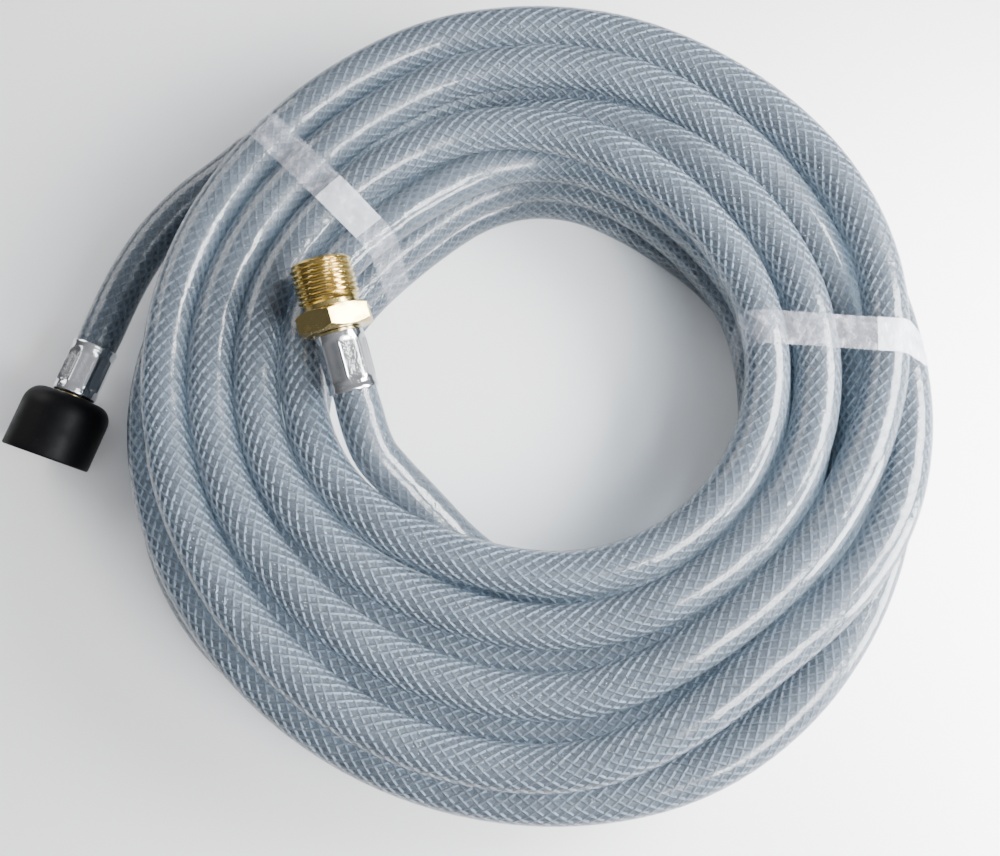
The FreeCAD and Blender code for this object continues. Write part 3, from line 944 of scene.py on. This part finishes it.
    def braid(self, line: np.ndarray) -> list[Surface]:
        """The yarns, wound in two directions and woven over and under each other.

        Args:
            line: The centre line.

        Returns:
            One ridged strip for each yarn.
        """
        line, gone = self.evenly(line, self.yarn_repeat / 2)
        ways = self.frames(line)
        number = np.arange(len(line))
        lead = self.yarns * self.yarn_repeat
        slant = math.atan2(2 * math.pi * self.yarn_radius, lead)
        reach = self.yarn_width / 2 / math.cos(slant) / self.yarn_radius
        strips = []
        for way in (1, -1):
            crown = self.yarn_radius + way * self.yarn_weave * (-1.0) ** number
            foot = np.full(len(line), self.yarn_foot)
            radii = np.stack([foot, crown, foot], axis=1)
            for k in range(self.yarns):
                middle = 2 * math.pi * (k / self.yarns + way * number / (2 * self.yarns))
                angles = middle[:, None] + np.array((-reach, 0.0, reach))
                strips.append(Surface(self.rings(line, ways, angles, radii), gone, closed_across=False))
        return strips

    def build(self, with_pieces: list[Piece]) -> np.ndarray:
        """Args:
            with_pieces: The fittings at the hose's far end; not used.

        Returns:
            The hose's centre line.
        """
        line = self.line()
        wall = self.tube(line, self.outer_radius, 24, self.bulge).piece("hose_wall", 80.0)
        # Opaque near-black tube under the braid: painted shade of the hollow bore
        liner = self.tube(line, self.liner_radius, 20).piece("hose_liner_bore_shade", 80.0)
        braid = piece_of(self.braid(line), "hose_braid", 80.0)
        placed(wall, VinylFinish(), "hose", "hose_coil", "hose_nut_end", "hose_brass_end")
        placed(liner, BoreShadeLinerFinish(), "hose")
        placed(braid, YarnFinish(), "hose")
        return line


@dataclass
class CrimpedFerrule:
    """Thin sleeve pressed round the hose by eight jaws."""

    name: str
    axis: Axis
    length: float = FERRULE_LENGTH
    bore: float = 0.00752
    wall: float = 0.0007
    flare: float = 0.00035
    lip: float = 0.0008
    lip_bore: float = 0.00505
    flats: int = 8
    pressed: float = 0.00045
    ridge: float = 0.00022
    crimp_start: float = 0.003
    crimp_end: float = 0.018
    crimp_rise: float = 0.0015
    roundness: float = 1.5
    ridge_start: float = 0.42
    ridge_width: float = 0.08
    pressed_from: float = 0.6
    step: float = 0.0005

    def shape(self, radius: float, height: float, angle: float) -> float:
        """Presses the outside flat between the jaws' edges, with a ridge at each edge."""
        if radius < self.bore + self.pressed_from * self.wall:
            return radius
        full = smooth((height - self.crimp_start) / self.crimp_rise)
        full *= smooth((self.crimp_end - height) / self.crimp_rise)
        part = math.tau / self.flats
        off = (angle % part) / part - 0.5
        flat = self.pressed * (math.cos(off * math.pi) ** self.roundness)
        ridge = self.ridge * smooth((abs(off) - self.ridge_start) / self.ridge_width)
        return radius - full * (flat - ridge)

    def build(self) -> Piece:
        """Builds and dresses the ferrule.

        Returns:
            The piece.
        """
        outer = self.bore + self.wall
        corners = [
            (self.bore + self.flare, 0.0),
            (outer + self.flare / 2, 0.0),
            (outer + self.flare, 0.0004),
            (outer + 0.8 * self.flare, 0.001),
            (outer, 0.002),
            (outer, self.length - 0.001),
            (outer - 0.0003, self.length - 0.0003),
            (outer - 0.001, self.length),
            (self.lip_bore, self.length),
            (self.lip_bore, self.length - self.lip),
            (self.bore, self.length - self.lip),
            (self.bore, 0.0015),
        ]
        surface = lathe(profile_of(corners, self.step), self.axis, 128, self.shape)
        return placed(surface.piece(self.name + "_sleeve", 35.0), PLATED, "plated_ferrule", self.name)


def tail_corners() -> list[Row]:
    """Profile of a hose tail from its bore at the tip, over its ridges, to the ferrule's end."""
    bore, ridge, root, tip, pitch, ridges = 0.004, 0.00498, 0.00463, 0.0063, 0.0038, 3
    collar = FERRULE_LENGTH - 0.0016
    corners = [(bore, tip), (root, tip)]
    for i in range(ridges):
        corners += [(ridge, tip + (i + 0.75) * pitch), (root, tip + (i + 1) * pitch)]
    return corners + [(root, collar), (ridge, collar), (ridge, FERRULE_LENGTH)]


@dataclass
class MaleConnector:
    """Brass hose tail, hexagon, relief groove and pipe thread in one turned piece."""

    axis: Axis
    ferrule: float = FERRULE_LENGTH
    hex_flats: float = 0.024
    hex_length: float = 0.0076
    relief_length: float = 0.0018
    thread_length: float = 0.0146
    crest: float = 0.01048
    root: float = 0.00932
    chamfer: float = 0.0012
    relief: float = 0.00918
    relief_slope: float = 0.0013
    hex_edge: float = 0.0004
    bore: float = 0.004
    seat: float = 0.0056

    def shape(self, radius: float, height: float, angle: float) -> float:
        """Cuts the hexagon's flats and the thread into the turned blank."""
        if radius > self.crest + 0.0003:
            part = math.pi / 3
            off = (angle % part) - part / 2
            return min(radius, self.hex_flats / 2 / math.cos(off))
        if radius > self.relief + 0.0001:
            return self.thread().radius(radius, height, angle)
        return radius

    def thread(self) -> Thread:
        """The connector's thread."""
        start = self.ferrule + self.hex_length + self.relief_length
        return Thread(self.crest, self.root, start, start + self.thread_length, Side.OUTSIDE)

    def build(self) -> Piece:
        """Builds and dresses the connector.

        Returns:
            The piece.
        """
        hex_start, hex_end = self.ferrule, self.ferrule + self.hex_length
        start, end = self.thread().start, self.thread().end
        corner = self.hex_flats / math.sqrt(3)
        face = self.hex_flats / 2 - self.hex_edge
        drop = (corner - face) * math.tan(math.radians(30))
        rows = tail_corners()
        rows += between((face, hex_start), (corner, hex_start + drop), EDGE_STEP)
        rows += [(corner, hex_start + drop), (corner, hex_end - drop)]
        rows += between((corner, hex_end - drop), (face, hex_end), EDGE_STEP)[1:]
        rows += [(face, hex_end), (self.relief, hex_end), (self.relief, start)]
        edge = [(self.relief + 0.0002, start), (self.crest, start + self.relief_slope)]
        edge += [(self.crest, end - self.chamfer), (self.crest - self.chamfer, end)]
        rows += runs(edge, EDGE_STEP, THREAD_STEP, THREAD_STEP)
        seat_depth = (self.seat - self.bore) * math.sqrt(3)
        rows += [(self.crest - self.chamfer, end), (self.seat, end), (self.bore, end - seat_depth)]
        piece = lathe(rows, self.axis, 144, self.shape).piece("brass_connector", 32.0)
        return placed(piece, BRASS, "brass", "male_connector")


@dataclass
class SwivelEnd:
    """Nut tail, sealing washer and the nut that turns on them."""

    axis: Axis
    ferrule: float = FERRULE_LENGTH
    gap: float = 0.0005
    back_wall: float = 0.004
    length: float = 0.0255
    outer: float = 0.016
    shoulder: float = 0.007
    back_radius: float = 0.0105
    minor: float = 0.01206
    major: float = 0.01322
    relief: float = 0.0045
    relief_slope: float = 0.00116
    lead_in: float = 0.0012
    edge: float = 0.0008
    neck: float = 0.0065
    neck_gap: float = 0.00008
    swivel_gap: float = 0.0003
    flange: float = 0.003
    washer: float = 0.0025
    washer_bore: float = 0.006

    def levels(self) -> tuple[float, float, float, float]:
        """Heights of the nut's back and inner back face, and of the flange's seat and top."""
        back = self.ferrule + self.gap
        inside = back + self.back_wall
        seat = inside + self.swivel_gap
        return back, inside, seat, seat + self.flange

    def tail(self) -> Piece:
        """Builds the brass hose tail with its neck and flange."""
        _, _, seat, top = self.levels()
        rim = self.minor - self.swivel_gap
        corners = tail_corners() + [
            (self.neck, self.ferrule),
            (self.neck, seat),
            (rim, seat),
            (rim, top - 0.0003),
            (rim - 0.0003, top),
            (0.0044, top),
            (0.004, top - 0.0004),
        ]
        piece = lathe(profile_of(corners, 0.0012), self.axis).piece("nut_end_tail", 32.0)
        return placed(piece, BRASS, "brass", "nut_tail")

    def seal(self) -> Piece:
        """Builds the flat washer, with rounded edges and a fine groove near its bore."""
        base = self.levels()[3]
        top = base + self.washer
        rim = self.minor - self.swivel_gap
        corners = [
            (self.washer_bore, base),
            (rim - 0.0004, base),
            (rim, base + 0.0004),
            (rim, top - 0.0004),
            (rim - 0.0004, top),
            (0.0096, top),
            (0.0094, top - 0.0003),
            (0.0088, top - 0.0003),
            (0.0086, top),
            (self.washer_bore + 0.0003, top),
            (self.washer_bore, top - 0.0003),
        ]
        piece = lathe(profile_of(corners, 0.0008), self.axis).piece("washer", 50.0)
        return placed(piece, RUBBER, "washer", "sealing_washer")

    def nut(self) -> Piece:
        """Builds the nut with its domed back and its inner thread."""
        back, inside, _, _ = self.levels()
        mouth = back + self.length
        hole = self.neck + self.neck_gap
        rows = [(hole, back + 0.0002), (hole + 0.0002, back), (self.back_radius - 0.0006, back)]
        dome = self.outer - self.back_radius
        for i in range(13):
            a = math.radians(90 * i / 12)
            rows.append((self.back_radius + dome * math.sin(a), back + self.shoulder * (1 - math.cos(a))))
        rows += between((self.outer, back + self.shoulder), (self.outer, mouth - self.edge), 0.002)
        for i in range(6):
            a = math.radians(90 * i / 5)
            rows.append((self.outer - self.edge * (1 - math.cos(a)), mouth - self.edge * (1 - math.sin(a))))
        start = inside + self.relief
        bore = [(self.minor + self.lead_in, mouth), (self.minor, mouth - self.lead_in)]
        bore += [(self.minor, start + self.relief_slope), (self.major, start)]
        rows += runs(bore, THREAD_STEP, THREAD_STEP, EDGE_STEP)
        rows += [(self.major, start), (self.major, inside), (hole, inside)]
        thread = Thread(self.minor, self.major, start, mouth, Side.INSIDE)

        def shape(radius: float, height: float, angle: float) -> float:
            """Cuts the thread into the nut's mouth."""
            inner = self.minor - 0.0001 < radius < self.minor + self.lead_in + 0.0001
            return thread.radius(radius, height, angle) if inner and height > start else radius

        piece = lathe(rows, self.axis, 144, shape).piece("nut_body", 32.0)
        return placed(piece, BLACK, "nut_plastic", "swivel_nut", body="nut")


@dataclass
class TapeWrap:
    """Thin clear tape pulled round all the strands at one place of the coil."""

    name: str
    place: TapePlace
    line: np.ndarray
    lap: tuple[float, float]
    lap_above: float
    inner_end: float = 0.072
    width: float = 0.012
    columns: int = 13
    reach: float = 0.0078
    lowest: float = 0.0001
    step: float = 0.0015
    crease: float = 0.00035
    creases_across: float = 300.0
    creases_along: float = 90.0
    lap_height: float = 0.00025
    lap_rows: int = 24

    def strands(self, offset: float) -> list[Row]:
        """(outward, up) places of the strands' centres in a plane beside the wrap's middle."""
        out, along, origin = self.ways()
        flat = self.line - origin
        beside = flat @ along - offset
        outward = flat @ out
        crossing = np.nonzero((beside[:-1] * beside[1:] <= 0) & (outward[:-1] > -self.inner_end / 2))[0]
        places = []
        for i in crossing:
            share = beside[i] / (beside[i] - beside[i + 1])
            p = flat[i] + (flat[i + 1] - flat[i]) * share
            places.append((float(p @ out), float(p[2])))
        return places

    def ways(self) -> tuple[np.ndarray, np.ndarray, np.ndarray]:
        """Directions across and along the turns at the wrap, and the place of its inner end."""
        winding, shift, slant = self.place.value
        a = math.radians(winding)
        x, y = WoundHose.middle
        origin = np.array((x, y, 0.0)) + self.inner_end * np.array((-math.cos(a), math.sin(a), 0.0))
        a -= math.radians(slant)
        out = np.array((-math.cos(a), math.sin(a), 0.0))
        along = np.array((-out[1], out[0], 0.0))
        return out, along, origin + shift * along

    def loop(self, offset: float, directions: int = 240) -> list[Row]:
        """The wrap's outline in one plane: the furthest strand in each direction, and its radius."""
        places = np.array(self.strands(offset))
        points = []
        for i in range(directions):
            a = math.tau * i / directions
            way = np.array((math.cos(a), math.sin(a)))
            furthest = places[np.argmax(places @ way)]
            points.append(tuple(furthest + way * self.reach))
        return points

    def build(self) -> Piece:
        """Builds and dresses the wrap.

        Returns:
            The piece.
        """
        out, along, origin = self.ways()
        offsets = [self.width * (i / (self.columns - 1) - 0.5) for i in range(self.columns)]
        loops = [self.loop(offset) for offset in offsets]
        middle = loops[self.columns // 2]
        rows = []
        gone = [0.0]
        for i in range(len(middle)):
            k = (i + 1) % len(middle)
            length = math.dist(middle[i], middle[k])
            count = max(1, math.ceil(length / self.step))
            for n in range(count):
                share = n / count
                rows.append([tuple(a + (b - a) * share for a, b in zip(loop[i], loop[k])) for loop in loops])
                gone.append(gone[-1] + length / count)
        seed = self.inner_end * len(self.name)
        points = np.zeros((len(rows), self.columns, 3))
        for i, row in enumerate(rows):
            for j, ((outward, up), offset) in enumerate(zip(row, offsets)):
                p = origin + out * outward + along * offset
                wave = noise.noise(Vector((offset * self.creases_across, gone[i] * self.creases_along, seed)))
                p += out * self.crease * wave
                points[i, j] = (p[0], p[1], max(up + self.crease * wave, self.lowest))
        surface = Surface(points, np.array(gone[:-1]), closed_across=False, closed_along=True)
        piece = placed(surface.piece(self.name + "_film", 60.0), TapeFinish(), "tape", self.name)
        self.loose_end(points, origin, out)
        return piece

    def loose_end(self, points: np.ndarray, origin: np.ndarray, out: np.ndarray) -> None:
        """Builds the tape's loose end, stuck over its own start on top of the turns.

        Args:
            points: The wrap's points, a row for each place round it.
            origin: The place of the wrap's inner end.
            out: Direction across the turns.
        """
        start, end = self.lap
        over = np.zeros((self.lap_rows, self.columns, 3))
        for j in range(self.columns):
            column = points[:, j]
            top = column[column[:, 2] > self.lap_above]
            outward = (top - origin) @ out + self.inner_end
            top = top[np.argsort(outward)]
            outward = np.sort(outward)
            places = np.linspace(start, min(end, outward[-1]), self.lap_rows)
            for k in range(3):
                over[:, j, k] = np.interp(places, outward, top[:, k])
        over += np.array((0.0, 0.0, self.lap_height)) + self.lap_height * out
        surface = Surface(over, np.linspace(0.0, end - start, self.lap_rows), closed_across=False)
        placed(surface.piece(self.name + "_end", 60.0), LAPPED, "tape")


@dataclass
class Studio:
    """Pale floor, soft lamps and the camera."""

    camera_place: Triple = (0.01396, -0.08469, 0.356)
    camera_tilt: float = 12.0
    lens: float = 32.22
    lit_point: Triple = (0.02, 0.0, 0.0)
    sky: Colour = (0.93, 0.95, 1.0)
    floor_radius: float = 4.0
    bright_side: Triple = (0.66, -0.35, 0.66)
    dim: float = 0.13
    bright: float = 0.5
    backdrop: float = 0.55

    def floor(self) -> None:
        """Builds the floor as flat rings, from its edge to its middle."""
        radii = np.array((self.floor_radius, 1.0, 0.3, 0.02, 0.0002))
        turn = [math.tau * i / 64 for i in range(64)]
        rings = [[(radius * math.cos(a), radius * math.sin(a), 0.0) for a in turn] for radius in radii]
        piece = Surface(np.array(rings), self.floor_radius - radii).piece("floor")
        FloorFinish().dress(piece)

    def lamp(self, name: str, place: Triple, size: float, power: float) -> None:
        """Adds a square soft lamp that faces the middle of the coil.

        Args:
            name: The lamp's name.
            place: Where it hangs.
            size: Its side.
            power: Its power in watts.
        """
        light = bpy.data.lights.new(name, "AREA")
        light.size = size
        light.energy = power
        holder = bpy.data.objects.new(name, light)
        holder.location = place
        way = Vector(self.lit_point) - Vector(place)
        holder.rotation_euler = way.to_track_quat("-Z", "Y").to_euler()
        holder.visible_camera = False
        bpy.context.scene.collection.objects.link(holder)

    def build(self) -> None:
        """Builds the camera, the floor, the lamps and the pale surroundings."""
        camera = bpy.data.cameras.new("camera")
        camera.sensor_width = 36.0
        camera.lens = self.lens
        holder = bpy.data.objects.new("camera", camera)
        holder.location = self.camera_place
        holder.rotation_euler = (math.radians(self.camera_tilt), 0.0, 0.0)
        bpy.context.scene.collection.objects.link(holder)
        bpy.context.scene.camera = holder
        self.floor()
        self.lamp("window", (0.34, 0.04, 0.26), 0.18, 5.6)
        self.lamp("key", (0.32, -0.25, 0.38), 0.2, 4.5)
        self.lamp("sill", (0.4, -0.14, 0.1), 0.16, 3.8)
        self.lamp("ceiling", (0.6, -0.4, 1.2), 0.5, 4.5)
        self.lamp("back", (-0.55, 0.5, 0.45), 0.5, 3.5)
        self.surroundings()

    def surroundings(self) -> None:
        """Gives the scene a pale backdrop and a soft sky that is brighter towards the lamps."""
        world = bpy.data.worlds.new("surroundings")
        world.use_nodes = True
        tree = world.node_tree
        sheet = Sheet(tree)
        way = sheet.node("ShaderNodeTexCoord").outputs["Generated"]
        towards = sheet.node("ShaderNodeVectorMath", {0: way, 1: self.bright_side}, operation="DOT_PRODUCT")
        sky = sheet.ramp(towards.outputs["Value"], -0.5, 0.9, (self.dim, self.bright))
        seen = sheet.node("ShaderNodeLightPath").outputs["Is Camera Ray"]
        light = sheet.math("MULTIPLY_ADD", seen, sheet.math("SUBTRACT", self.backdrop, sky), sky)
        back = tree.nodes["Background"]
        sheet.put(back.inputs["Color"], self.sky)
        sheet.put(back.inputs["Strength"], light)
        bpy.context.scene.world = world


def main() -> None:
    """Builds the studio and every piece of the hose."""
    logging.basicConfig(level=logging.INFO, format="%(name)s: %(message)s")
    Studio().build()
    male = [CrimpedFerrule("male_ferrule", MALE_AXIS).build(), MaleConnector(MALE_AXIS).build()]
    line = WoundHose().build(male)
    CrimpedFerrule("nut_ferrule", NUT_AXIS).build()
    swivel = SwivelEnd(NUT_AXIS)
    swivel.tail()
    swivel.seal()
    swivel.nut()
    TapeWrap("tape_band_left", TapePlace.LEFT, line, (0.079, 0.1), 0.05).build()
    TapeWrap("tape_band_right", TapePlace.RIGHT, line, (0.112, 0.16), 0.042).build()


if __name__ == "__main__":
    main()
